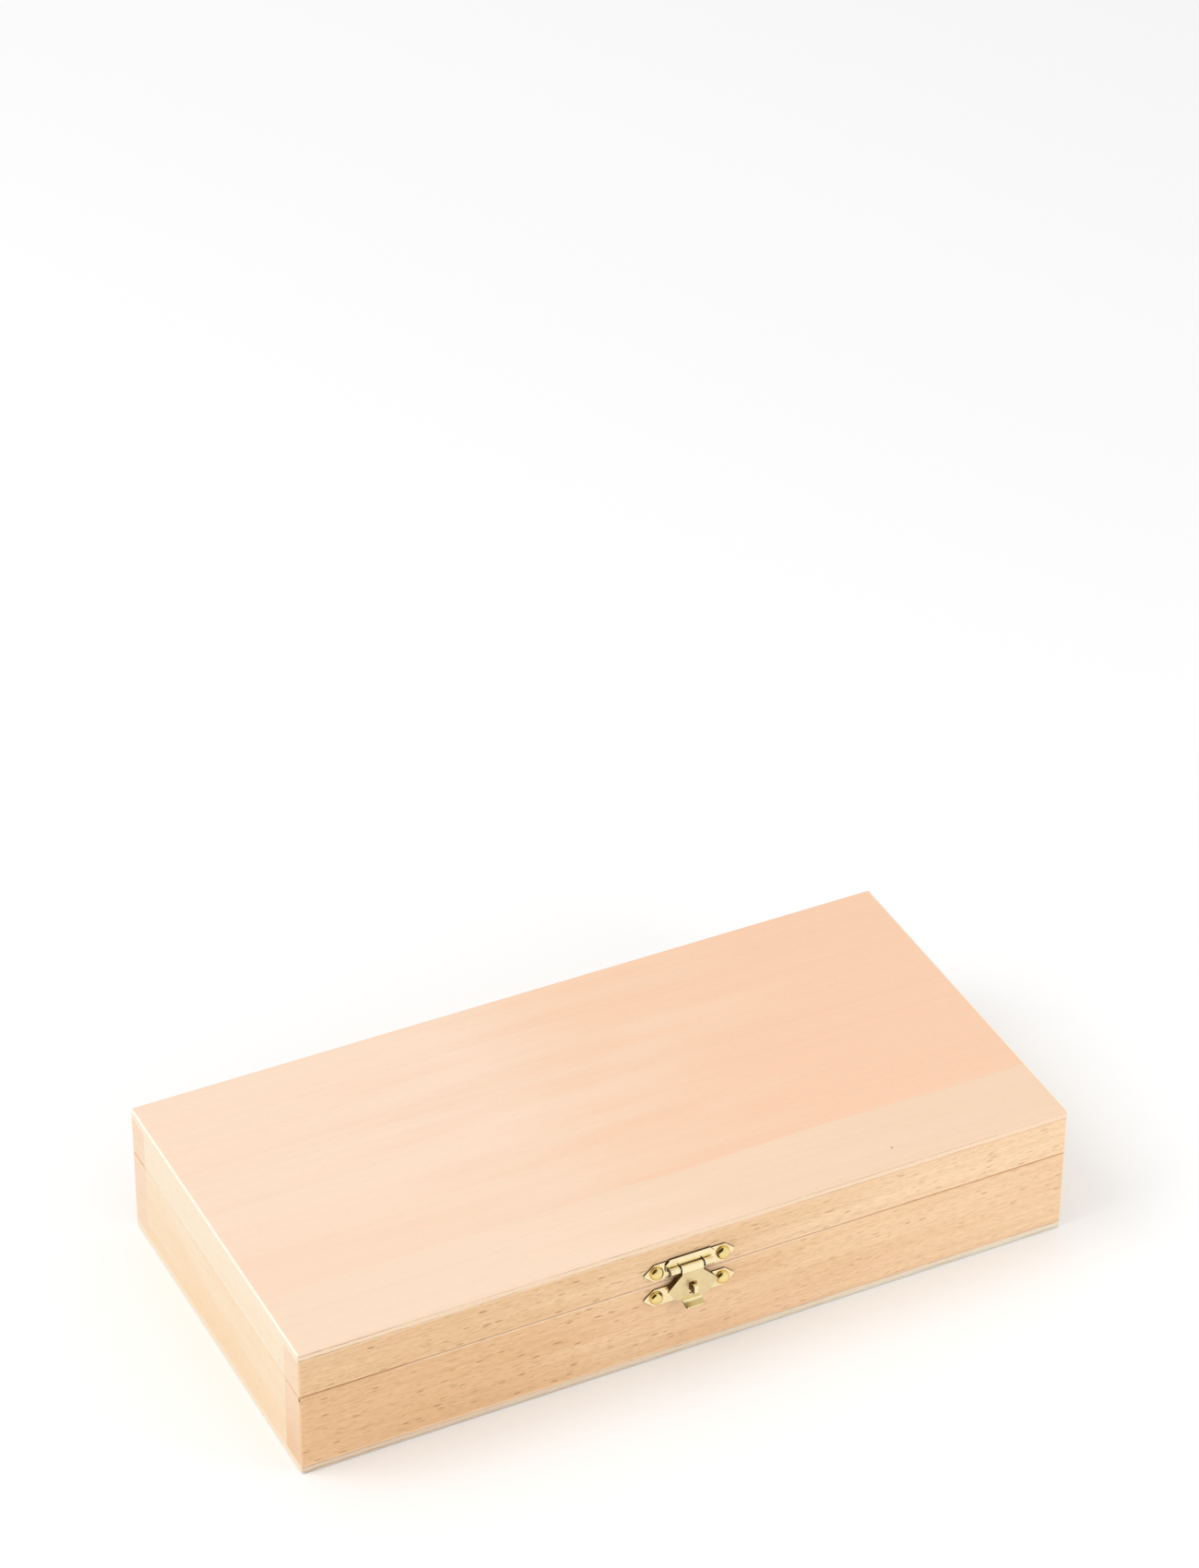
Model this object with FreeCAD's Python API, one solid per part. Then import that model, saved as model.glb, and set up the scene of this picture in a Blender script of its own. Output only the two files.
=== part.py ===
import FreeCAD, Part
import math
import os

# Flat hinged case of beech boards and thin plywood, held shut by a nailed brass hasp. Millimetres.
# The origin is the middle of the underside. +X runs along the length, -Y is the front, +Z is up.

# Case
LENGTH = 252.0
DEPTH = 124.0
BASE_HEIGHT = 28.7
LID_HEIGHT = 16.0
PARTING_GAP = 0.3
BOARD = 10.0
PANEL = 3.0
TOP_ROUND = 0.5
FOOT_ROUND = 0.35
RIM_ROUND = 0.5
CORNER_ROUND = 1.0

# Square-shanked nails, whose points stop short of the inside of the boards
NAIL_WIDTH = 1.0
NAIL_POINT = 1.4
NAIL_COVER = 2.5
PILOT_CLEARANCE = 0.02

# Pins and the sheet rolled round them. In a section, angles are measured from the way out of the wall.
PIN_CLEARANCE = 0.05
ROLL_ANGLE = 290.0
WALL_SIDE_ANGLE = 180.0
OUTER_SIDE_ANGLE = 0.0

# Rear hinges: the inset runs from the end of the case to the middle of a hinge
HINGE_INSET = 52.0
HINGE_LENGTH = 24.0
HINGE_SHEET = 0.8
HINGE_REACH = 8.5
HINGE_CORNER = 1.5
HINGE_PIN_RADIUS = 0.8
HINGE_CENTRE_KNUCKLE = 9.0
HINGE_KNUCKLE_GAP = 0.2
HINGE_NAIL_SPACING = 14.0
HINGE_NAIL_EDGE = 3.0
HINGE_HEAD_RADIUS = 1.5
HINGE_HEAD_RISE = 0.5
HINGE_DOME_ANGLES = (0, 45, 90)

# Bars of the hasp plate and the catch plate, which lie on each side of the parting line
HASP_OFFSET = -1.6
HASP_SHEET = 0.5
BAR_LENGTH = 30.2
BAR_HEIGHT = 6.2
BAR_POINT = 3.5
BAR_ROUND = 0.6
BAR_ROW = 4.7
BAR_NAIL_SPACING = 21.8
HASP_HEAD_RADIUS = 2.2
HASP_HEAD_RISE = 1.9
HASP_DOME_ANGLES = (0, 30, 60, 90)

# Doubled hood of the hasp plate and the barrel below it
HOOD_WIDTH = 16.1
HOOD_RISE = 3.9
HOOD_CHAMFER = 1.4
HASP_AXIS_RISE = 4.3
HASP_PIN_RADIUS = 0.6
HASP_PIN_RECESS = 0.5
BARREL_LENGTH = 14.2
HASP_KNUCKLE_GAP = 0.6
WINDOW_CLEARANCE = 0.4

# Flap, with each drop measured down from the barrel's axis
FLAP_KNUCKLE = 7.0
FLAP_SHOULDER_DROP = 1.6
FLAP_WIDTH = 16.3
FLAP_WIDEST_DROP = 6.5
FLAP_WIDEST_ROUND = 0.8
FLAP_TAPER_WIDTH = 11.6
FLAP_TAPER_DROP = 10.2
FLAP_TAPER_ROUND = 2.5
FLAP_DROP = 11.4
FLANGE_DEPTH = 1.5
LIP_WIDTH = 6.1
LIP_BEND = 0.6
LIP_ANGLE = 76.0
LIP_REACH = 1.9
LIP_ROUND = 0.8

# Nose of the catch, which comes out through the flap's slot and lifts toward its tip
NOSE_DROP = 7.45
NOSE_LIFT = 0.8
NOSE_HEIGHT = 3.0
NOSE_THICKNESS = 1.2
NOSE_REACH = 2.3
NOSE_ROUND = 0.7
SLOT_CLEARANCE = 0.7

# Levels and places that follow from the sizes above
PARTING = BASE_HEIGHT + PARTING_GAP / 2
LID_RIM = BASE_HEIGHT + PARTING_GAP
TOP = LID_RIM + LID_HEIGHT
OUTWARD = {"front": -1, "back": 1}
HINGE_BORE = HINGE_PIN_RADIUS + PIN_CLEARANCE
HINGE_BARREL = HINGE_BORE + HINGE_SHEET
HASP_BORE = HASP_PIN_RADIUS + PIN_CLEARANCE
HASP_BARREL = HASP_BORE + HASP_SHEET
HASP_AXIS = PARTING + HASP_AXIS_RISE
HASP_AXIS_OUT = HASP_SHEET + HASP_BARREL
HOOD_THICKNESS = HASP_SHEET + HASP_SHEET
FLAP_FACE = HASP_AXIS_OUT + HASP_BARREL
FLAP_BACK = FLAP_FACE - HASP_SHEET


def vector(x, y, z):
    return FreeCAD.Vector(x, y, z)


def section(wall, x):
    """Places (distance out of the wall, height) in the upright plane at x, square to the front."""
    return lambda out, z: vector(x, OUTWARD[wall] * (DEPTH / 2 + out), z)


def elevation(wall, out):
    """Places (x, height) in the plane that lies a distance out of the front or back wall."""
    return lambda x, z: vector(x, OUTWARD[wall] * (DEPTH / 2 + out), z)


def plan(z):
    return lambda x, y: vector(x, y, z)


def rounded_face(corners, place):
    """Flat face through corners (a, b, radius), each rounded by its own radius."""
    arcs = []
    for index, (a, b, radius) in enumerate(corners):
        corner = vector(a, b, 0)
        before = vector(*corners[index - 1][:2], 0) - corner
        after = vector(*corners[(index + 1) % len(corners)][:2], 0) - corner
        before.normalize()
        after.normalize()
        half = before.getAngle(after) / 2
        inward = before + after
        inward.normalize()
        centre = corner + inward * (radius / math.sin(half))
        reach = radius / math.tan(half)
        arcs.append((corner + before * reach, centre - inward * radius, corner + after * reach))
    edges = []
    for index, (start, middle, end) in enumerate(arcs):
        following = arcs[(index + 1) % len(arcs)][0]
        points = [place(point.x, point.y) for point in (start, middle, end, following)]
        if start != end:
            edges.append(Part.Arc(*points[:3]).toShape())
        if end != following:
            edges.append(Part.makeLine(points[2], points[3]))
    return Part.Face(Part.Wire(edges))


def rolled_face(centre_out, centre_z, bore, sheet, start, turn, place):
    """Section of a sheet bent round a centre, from the angle start through turn, in degrees."""

    def at(radius, angle):
        angle = math.radians(angle)
        return place(centre_out + radius * math.cos(angle), centre_z + radius * math.sin(angle))

    middle = start + turn / 2
    end = start + turn
    outer = bore + sheet
    inner_arc = Part.Arc(at(bore, start), at(bore, middle), at(bore, end)).toShape()
    outer_arc = Part.Arc(at(outer, end), at(outer, middle), at(outer, start)).toShape()
    end_line = Part.makeLine(at(bore, end), at(outer, end))
    start_line = Part.makeLine(at(outer, start), at(bore, start))
    return Part.Face(Part.Wire([inner_arc, end_line, outer_arc, start_line]))


def along_x(face, width):
    return face.extrude(vector(width, 0, 0))


def out_of_wall(face, wall, thickness):
    return face.extrude(vector(0, OUTWARD[wall] * thickness, 0))


def block(low_x, high_x, low_y, high_y, low_z, high_z):
    return Part.makeBox(high_x - low_x, high_y - low_y, high_z - low_z, vector(low_x, low_y, low_z))


def rod(radius, length, wall, x, out, z):
    """Round bar along X, its middle at x and its axis a distance out of the wall."""
    start = section(wall, x - length / 2)(out, z)
    return Part.makeCylinder(radius, length, start, vector(1, 0, 0))


def joined(shapes):
    return shapes[0].fuse(shapes[1:]).removeSplitter()


def sanded_outline(low, high, low_round, high_round):
    """Outside of the base or of the lid as sanded in one piece: every board and panel is cut by it."""
    half_length = LENGTH / 2
    half_depth = DEPTH / 2
    lengthways = [
        (-half_length, low, low_round),
        (half_length, low, low_round),
        (half_length, high, high_round),
        (-half_length, high, high_round),
    ]
    crossways = [
        (-half_depth, low, low_round),
        (half_depth, low, low_round),
        (half_depth, high, high_round),
        (-half_depth, high, high_round),
    ]
    footprint = [
        (-half_length, -half_depth, CORNER_ROUND),
        (half_length, -half_depth, CORNER_ROUND),
        (half_length, half_depth, CORNER_ROUND),
        (-half_length, half_depth, CORNER_ROUND),
    ]
    long_face = rounded_face(lengthways, lambda x, z: vector(x, -half_depth, z))
    cross_face = rounded_face(crossways, lambda y, z: vector(-half_length, y, z))
    long_body = long_face.extrude(vector(0, DEPTH, 0))
    cross_body = cross_face.extrude(vector(LENGTH, 0, 0))
    upright_body = rounded_face(footprint, plan(low)).extrude(vector(0, 0, high - low))
    return long_body.common(cross_body).common(upright_body)


def frame_boards(prefix, low, high, outline):
    """Four boards on edge: the long ones run the whole length, the short ones are butted between them."""
    half_length = LENGTH / 2
    half_depth = DEPTH / 2
    inside_length = half_length - BOARD
    inside_depth = half_depth - BOARD
    blanks = {
        "front_board": block(-half_length, half_length, -half_depth, -inside_depth, low, high),
        "back_board": block(-half_length, half_length, inside_depth, half_depth, low, high),
        "left_board": block(-half_length, -inside_length, -inside_depth, inside_depth, low, high),
        "right_board": block(inside_length, half_length, -inside_depth, inside_depth, low, high),
    }
    return {prefix + name: blank.common(outline) for name, blank in blanks.items()}


def panel(low, outline):
    return block(-LENGTH / 2, LENGTH / 2, -DEPTH / 2, DEPTH / 2, low, low + PANEL).common(outline)


def square_face(wall, x, z, out, width):
    half = width / 2
    corners = [
        (x - half, z - half, 0),
        (x + half, z - half, 0),
        (x + half, z + half, 0),
        (x - half, z + half, 0),
    ]
    return rounded_face(corners, elevation(wall, out))


def nail(wall, x, z, sheet, head_radius, head_rise, dome_angles):
    """Nail through a sheet into a board, its domed head faceted at the angles."""
    point_depth = -(BOARD - NAIL_COVER)
    shoulder = square_face(wall, x, z, point_depth + NAIL_POINT, NAIL_WIDTH)
    shank = out_of_wall(shoulder, wall, sheet - point_depth - NAIL_POINT)
    tip = Part.Vertex(elevation(wall, point_depth)(x, z))
    point = Part.makeLoft([shoulder.OuterWire, tip], True, True)
    outline = [(0, sheet)]
    for angle in map(math.radians, dome_angles):
        outline.append((head_radius * math.cos(angle), sheet + head_rise * math.sin(angle)))
    corners = [elevation(wall, out)(x + radius, z) for radius, out in outline]
    half_section = Part.Face(Part.makePolygon([*corners, corners[0]]))
    head = half_section.revolve(corners[0], vector(0, 1, 0), 360)
    return joined([shank, point, head])


def nail_hole(wall, x, z, sheet):
    """Square hole for one nail, from its point to the outer face of the sheet."""
    depth = BOARD - NAIL_COVER + PILOT_CLEARANCE
    width = NAIL_WIDTH + PILOT_CLEARANCE + PILOT_CLEARANCE
    return out_of_wall(square_face(wall, x, z, -depth, width), wall, depth + sheet)


def hinge_middles():
    reach = LENGTH / 2 - HINGE_INSET
    return {"left": -reach, "right": reach}


def hinge_nail_places(side):
    """Middles of the nails on the lid's leaves (side 1) or the base's leaves (side -1)."""
    z = PARTING + side * (HINGE_REACH - HINGE_NAIL_EDGE)
    half = HINGE_NAIL_SPACING / 2
    return [(middle + step, z) for middle in hinge_middles().values() for step in (-half, half)]


def hasp_nail_places(side):
    """Middles of the nails in the hasp plate (side 1) or the catch plate (side -1)."""
    z = PARTING + side * BAR_ROW
    half = BAR_NAIL_SPACING / 2
    return [(HASP_OFFSET - half, z), (HASP_OFFSET + half, z)]


def hinge_leaf(middle, side):
    """Leaf and its knuckles: the lid's (side 1) has the middle one, the base's (side -1) the outer pair."""
    half = HINGE_LENGTH / 2
    half_centre = HINGE_CENTRE_KNUCKLE / 2
    if side > 0:
        spans = [(-half_centre, half_centre)]
    else:
        inner = half_centre + HINGE_KNUCKLE_GAP
        spans = [(-half, -inner), (inner, half)]
    shoulder = PARTING + side * (HINGE_BARREL + HINGE_KNUCKLE_GAP)
    free_edge = PARTING + side * HINGE_REACH
    outline = [
        (middle - half, shoulder, 0),
        (middle + half, shoulder, 0),
        (middle + half, free_edge, HINGE_CORNER),
        (middle - half, free_edge, HINGE_CORNER),
    ]
    pieces = [out_of_wall(rounded_face(outline, elevation("back", 0)), "back", HINGE_SHEET)]
    for low, high in spans:
        place = section("back", middle + low)
        neck = [(0, PARTING, 0), (HINGE_SHEET, PARTING, 0), (HINGE_SHEET, shoulder, 0), (0, shoulder, 0)]
        turn = side * ROLL_ANGLE
        roll = rolled_face(HINGE_BARREL, PARTING, HINGE_BORE, HINGE_SHEET, WALL_SIDE_ANGLE, turn, place)
        pieces.append(along_x(rounded_face(neck, place), high - low))
        pieces.append(along_x(roll, high - low))
    leaf = joined(pieces)
    for x, z in hinge_nail_places(side):
        leaf = leaf.cut(nail_hole("back", x, z, HINGE_SHEET))
    return leaf


def hinge_pin(middle):
    return rod(HINGE_PIN_RADIUS, HINGE_LENGTH, "back", middle, HINGE_BARREL, PARTING)


def pointed_bar(side):
    """Flat bar with pointed ends, nailed on the lid (side 1) or the base (side -1)."""
    row = PARTING + side * BAR_ROW
    tip = BAR_LENGTH / 2
    shoulder = tip - BAR_POINT
    half_height = BAR_HEIGHT / 2
    outline = [
        (HASP_OFFSET - tip, row, BAR_ROUND),
        (HASP_OFFSET - shoulder, row - half_height, BAR_ROUND),
        (HASP_OFFSET + shoulder, row - half_height, BAR_ROUND),
        (HASP_OFFSET + tip, row, BAR_ROUND),
        (HASP_OFFSET + shoulder, row + half_height, BAR_ROUND),
        (HASP_OFFSET - shoulder, row + half_height, BAR_ROUND),
    ]
    bar = out_of_wall(rounded_face(outline, elevation("front", 0)), "front", HASP_SHEET)
    for x, z in hasp_nail_places(side):
        bar = bar.cut(nail_hole("front", x, z, HASP_SHEET))
    return bar


def hood():
    """Sheet folded over at the top, in two layers down to the barrel, with its upper corners cut off."""
    half = HOOD_WIDTH / 2
    crest = HASP_AXIS + HOOD_RISE
    fold = [
        (0, HASP_AXIS, 0),
        (HOOD_THICKNESS, HASP_AXIS, 0),
        (HOOD_THICKNESS, crest, HASP_SHEET),
        (0, crest, 0),
    ]
    outline = [
        (HASP_OFFSET - half, HASP_AXIS, 0),
        (HASP_OFFSET + half, HASP_AXIS, 0),
        (HASP_OFFSET + half, crest - HOOD_CHAMFER, 0),
        (HASP_OFFSET + half - HOOD_CHAMFER, crest, 0),
        (HASP_OFFSET - half + HOOD_CHAMFER, crest, 0),
        (HASP_OFFSET - half, crest - HOOD_CHAMFER, 0),
    ]
    folded = along_x(rounded_face(fold, section("front", HASP_OFFSET - half)), HOOD_WIDTH)
    trimmed = out_of_wall(rounded_face(outline, elevation("front", 0)), "front", HOOD_THICKNESS)
    return folded.common(trimmed)


def hasp_roll(start, x):
    """Section at x of the hasp's sheet rolled round its pin, from the angle at which it leaves the flat."""
    place = section("front", x)
    return rolled_face(HASP_AXIS_OUT, HASP_AXIS, HASP_BORE, HASP_SHEET, start, ROLL_ANGLE, place)


def hasp_plate():
    """Nailed plate on the lid: pointed bar, doubled hood and the two outer knuckles of the barrel."""
    inner = FLAP_KNUCKLE / 2 + HASP_KNUCKLE_GAP
    outer = BARREL_LENGTH / 2
    knuckle = outer - inner
    pieces = [pointed_bar(1), hood()]
    for low in (-outer, inner):
        pieces.append(along_x(hasp_roll(WALL_SIDE_ANGLE, HASP_OFFSET + low), knuckle))
    reach = HASP_BARREL + WINDOW_CLEARANCE
    front = -DEPTH / 2
    window = block(
        HASP_OFFSET - inner,
        HASP_OFFSET + inner,
        front - FLAP_FACE,
        front,
        HASP_AXIS - reach,
        HASP_AXIS + reach,
    )
    plate = joined(pieces).cut(window)
    for x, z in hasp_nail_places(1):
        plate = plate.cut(nail_hole("front", x, z, HASP_SHEET))
    return plate


def hasp_pin():
    return rod(
        HASP_PIN_RADIUS,
        BARREL_LENGTH - 2 * HASP_PIN_RECESS,
        "front",
        HASP_OFFSET,
        HASP_AXIS_OUT,
        HASP_AXIS,
    )


def shoulder_flange(side):
    """Strip along the right (side 1) or left (side -1) shoulder of the flap, turned back toward the case."""
    start = vector(HASP_OFFSET + side * FLAP_KNUCKLE / 2, HASP_AXIS - FLAP_SHOULDER_DROP, 0)
    end = vector(HASP_OFFSET + side * FLAP_WIDTH / 2, HASP_AXIS - FLAP_WIDEST_DROP, 0)
    along = end - start
    along.normalize()
    end -= along * FLAP_WIDEST_ROUND
    inward = vector(side * along.y, -side * along.x, 0) * HASP_SHEET
    outline = [(corner.x, corner.y, 0) for corner in (start, end, end + inward, start + inward)]
    rear_face = rounded_face(outline, elevation("front", FLAP_BACK - FLANGE_DEPTH))
    return out_of_wall(rear_face, "front", FLANGE_DEPTH)


def lifting_lip():
    """Tab at the foot of the flap, bent out for a fingertip, with rounded corners."""
    half = LIP_WIDTH / 2
    foot = HASP_AXIS - FLAP_DROP
    centre_out = FLAP_FACE + LIP_BEND
    first_section = section("front", HASP_OFFSET - half)
    bend = rolled_face(centre_out, foot, LIP_BEND, HASP_SHEET, WALL_SIDE_ANGLE, LIP_ANGLE, first_section)
    cosine = math.cos(math.radians(LIP_ANGLE))
    sine = math.sin(math.radians(LIP_ANGLE))

    def upper_face(x, reach):
        out = centre_out - LIP_BEND * cosine + reach * sine
        return section("front", x)(out, foot - LIP_BEND * sine - reach * cosine)

    outline = [
        (HASP_OFFSET - half, 0, 0),
        (HASP_OFFSET + half, 0, 0),
        (HASP_OFFSET + half, LIP_REACH, LIP_ROUND),
        (HASP_OFFSET - half, LIP_REACH, LIP_ROUND),
    ]
    under = vector(0, -OUTWARD["front"] * cosine, -sine) * HASP_SHEET
    return [along_x(bend, LIP_WIDTH), rounded_face(outline, upper_face).extrude(under)]


def hasp_flap():
    """Six-sided slotted flap: knuckle rolled at the top, shoulders turned back, lip bent out at the foot."""
    half_knuckle = FLAP_KNUCKLE / 2
    half_width = FLAP_WIDTH / 2
    half_taper = FLAP_TAPER_WIDTH / 2
    half_lip = LIP_WIDTH / 2
    right_side = [
        (half_knuckle, 0, 0),
        (half_knuckle, FLAP_SHOULDER_DROP, 0),
        (half_width, FLAP_WIDEST_DROP, FLAP_WIDEST_ROUND),
        (half_taper, FLAP_TAPER_DROP, FLAP_TAPER_ROUND),
        (half_lip, FLAP_DROP, 0),
    ]
    right = [(HASP_OFFSET + half, HASP_AXIS - drop, radius) for half, drop, radius in right_side]
    left = [(HASP_OFFSET - half, HASP_AXIS - drop, radius) for half, drop, radius in reversed(right_side)]
    face = rounded_face(right + left, elevation("front", FLAP_BACK))
    roll = hasp_roll(OUTER_SIDE_ANGLE, HASP_OFFSET - half_knuckle)
    flanges = [shoulder_flange(1), shoulder_flange(-1)]
    sheet = out_of_wall(face, "front", HASP_SHEET)
    flap = joined([sheet, along_x(roll, FLAP_KNUCKLE), *flanges, *lifting_lip()])
    half_slot = NOSE_THICKNESS / 2 + SLOT_CLEARANCE
    half_height = NOSE_HEIGHT / 2 + SLOT_CLEARANCE
    nose = HASP_AXIS - NOSE_DROP + NOSE_LIFT * FLAP_BACK / (FLAP_FACE + NOSE_REACH)
    slot = [
        (HASP_OFFSET - half_slot, nose - half_height, SLOT_CLEARANCE),
        (HASP_OFFSET + half_slot, nose - half_height, SLOT_CLEARANCE),
        (HASP_OFFSET + half_slot, nose + half_height, SLOT_CLEARANCE),
        (HASP_OFFSET - half_slot, nose + half_height, SLOT_CLEARANCE),
    ]
    return flap.cut(out_of_wall(rounded_face(slot, elevation("front", FLAP_BACK)), "front", HASP_SHEET))


def catch_plate():
    """Nailed plate on the base, with the nose that stands out of it through the flap."""
    nose = HASP_AXIS - NOSE_DROP
    tip = FLAP_FACE + NOSE_REACH
    half_height = NOSE_HEIGHT / 2
    profile = [
        (0, nose - half_height, 0),
        (tip, nose + NOSE_LIFT - half_height, NOSE_ROUND),
        (tip, nose + NOSE_LIFT + half_height, NOSE_ROUND),
        (0, nose + half_height, 0),
    ]
    place = section("front", HASP_OFFSET - NOSE_THICKNESS / 2)
    return joined([pointed_bar(-1), along_x(rounded_face(profile, place), NOSE_THICKNESS)])


def drilled(board, wall, places):
    for x, z in places:
        board = board.cut(nail_hole(wall, x, z, 0))
    return board


def wooden_pieces():
    base_outline = sanded_outline(0, BASE_HEIGHT, FOOT_ROUND, RIM_ROUND)
    lid_outline = sanded_outline(LID_RIM, TOP, RIM_ROUND, TOP_ROUND)
    pieces = {
        **frame_boards("base_", PANEL, BASE_HEIGHT, base_outline),
        **frame_boards("lid_", LID_RIM, TOP - PANEL, lid_outline),
        "base_bottom_panel": panel(0, base_outline),
        "lid_top_panel": panel(TOP - PANEL, lid_outline),
    }
    for prefix, side in (("base_", -1), ("lid_", 1)):
        front = prefix + "front_board"
        back = prefix + "back_board"
        pieces[front] = drilled(pieces[front], "front", hasp_nail_places(side))
        pieces[back] = drilled(pieces[back], "back", hinge_nail_places(side))
    return pieces


def hinge_pieces():
    pieces = {}
    for name, middle in hinge_middles().items():
        pieces[f"hinge_{name}_base_leaf"] = hinge_leaf(middle, -1)
        pieces[f"hinge_{name}_lid_leaf"] = hinge_leaf(middle, 1)
        pieces[f"hinge_{name}_pin"] = hinge_pin(middle)
    for name, side in (("hinge_base_nails", -1), ("hinge_lid_nails", 1)):
        nails = [
            nail("back", x, z, HINGE_SHEET, HINGE_HEAD_RADIUS, HINGE_HEAD_RISE, HINGE_DOME_ANGLES)
            for x, z in hinge_nail_places(side)
        ]
        pieces[name] = Part.makeCompound(nails)
    return pieces


def hasp_pieces():
    pieces = {
        "hasp_plate": hasp_plate(),
        "hasp_pin": hasp_pin(),
        "hasp_flap": hasp_flap(),
        "catch_plate": catch_plate(),
    }
    for name, side in (("catch_nails", -1), ("hasp_nails", 1)):
        nails = [
            nail("front", x, z, HASP_SHEET, HASP_HEAD_RADIUS, HASP_HEAD_RISE, HASP_DOME_ANGLES)
            for x, z in hasp_nail_places(side)
        ]
        pieces[name] = Part.makeCompound(nails)
    return pieces


def main():
    os.makedirs("parts", exist_ok=True)
    for name, shape in {**wooden_pieces(), **hinge_pieces(), **hasp_pieces()}.items():
        shape.exportStep(f"parts/{name}.step")
        print(name, "solids", len(shape.Solids), "valid", shape.isValid(), "volume", round(shape.Volume, 2))


main()
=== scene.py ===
import math
from collections import namedtuple

import bmesh
import bpy
from mathutils import Matrix, Vector


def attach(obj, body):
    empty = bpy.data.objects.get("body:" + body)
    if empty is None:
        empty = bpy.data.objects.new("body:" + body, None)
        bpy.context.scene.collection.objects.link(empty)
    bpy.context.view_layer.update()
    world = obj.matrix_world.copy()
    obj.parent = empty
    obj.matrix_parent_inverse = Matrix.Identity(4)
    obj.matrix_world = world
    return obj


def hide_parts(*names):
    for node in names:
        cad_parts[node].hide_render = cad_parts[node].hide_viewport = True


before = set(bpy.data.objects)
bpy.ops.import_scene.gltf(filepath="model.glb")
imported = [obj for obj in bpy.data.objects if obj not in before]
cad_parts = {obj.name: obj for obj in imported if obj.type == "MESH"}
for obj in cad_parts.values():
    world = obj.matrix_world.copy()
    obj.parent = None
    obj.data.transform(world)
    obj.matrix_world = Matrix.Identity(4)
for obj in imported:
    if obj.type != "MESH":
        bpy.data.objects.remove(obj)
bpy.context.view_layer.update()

# Flat hinged beech case with a nailed brass hasp. Metres, unless a name or a heading says millimetres.
MM = 0.001

# Noise: its sizes along three axes, its detail and how rough that detail is
Noise = namedtuple("Noise", "sizes detail roughness", defaults=(2.0, 0.5))
# Marks apart from each other: the sizes of their cells, the share of cells that hold one, and its reach
Marks = namedtuple("Marks", "sizes share reach")
# Layer: the span of values over which it comes in, and its strength at the span's end
Layer = namedtuple("Layer", "span strength")
WHOLE = (0.0, 1.0)

# Camera: the point on its axis level with the middle of the case, and where it stands from there
AIM = Vector((0.08929, 0.17967, 0.0225))
AIM_DISTANCE = 1.75966
CAMERA_AZIMUTH = 26.648
CAMERA_DEPRESSION = 35.262
CAMERA_ROLL = 0.439
LENS = 121.4
SENSOR = 36.0
CLIP_END = 100.0

# Studio: even light all round, a soft box at the upper left and a small one at the front right
AMBIENT = 0.85
WHITE = (1, 1, 1, 1)
KEY_PLACE = Vector((-1.28, 0.25, 1.53))
KEY_SIZE = 1.3
KEY_POWER = 13.8
FILL_PLACE = Vector((0.45, -0.55, 0.3))
FILL_SIZE = 0.25
FILL_POWER = 0.8

# Pale floor, a hair under the case so that the two share no plane
FLOOR_SIZE = 30.0
FLOOR_PLACE = Vector((0, 0, -0.0002))
FLOOR_COLOUR = (0.93, 0.93, 0.93, 1)
UP = Vector((0, 0, 1))
PAINT_ROUGHNESS = 0.9

# Dark card at the upper left, which only reflections show
CARD_PLACE = Vector((-0.65, 0.2, 0.73))
CARD_SIZE = 3.4
CARD_COLOUR = (0.04, 0.027, 0.01, 1)

# Places on the case that the materials follow, in millimetres
HALF_LENGTH = 126.0
HALF_DEPTH = 62.0
TOP = 45.0
PARTING = 28.85
PANEL = 3.0
LENGTHWISE = (-HALF_LENGTH, HALF_LENGTH)
UPWARD = (0.0, TOP)

# Where a pattern lies for each seed, in millimetres along its three axes, and how its marks are drawn
SEED_STEPS = (137.0, 53.0, 91.0)
MARK_CORE = 0.45
FAINTEST_MARK = 0.3

# Figure of the wood, in millimetres along the grain, across it and through the board
TONE_CLOUDS = Noise((70.0, 9.0, 9.0))
BLUSH = Noise((55.0, 16.0, 16.0))
GROWTH_BANDS = Noise((160.0, 1.7, 1.7), 4.0, 0.6)
FIBRES = Noise((3.5, 0.5, 0.5), 3.0, 0.6)
VENEER_FIBRES = FIBRES._replace(roughness=0.5)
PALE_FIBRES = Noise((4.5, 0.6, 0.6))
END_RAYS = Noise((9.0, 0.5, 6.0), 3.0)
GRIT = Noise((1.6, 0.12, 0.12))
SEAM_WANDER = Noise((60.0, 60.0, 60.0))
RAGGED_PLY = Noise((5.0, 5.0, 1.0), 3.0)
BROKEN_GLUE = Noise((16.0, 16.0, 4.0), 3.0)
CORE_RINGS = Noise((30.0, 0.9, 0.6), 3.0)
BOLD_FLECKS = Marks((6.2, 1.3, 2.0), 0.6, 0.28)
SMALL_FLECKS = Marks((3.2, 0.8, 1.2), 0.55, 0.3)
VENEER_FLECKS = SMALL_FLECKS._replace(share=0.5)
FAINT_STREAKS = Marks((9.0, 0.9, 1.5), 0.5, 0.32)
END_PORES = Marks((4.0, 0.34, 0.34), 0.6, 0.3)
CORE_PORES = END_PORES._replace(share=0.45)

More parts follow.
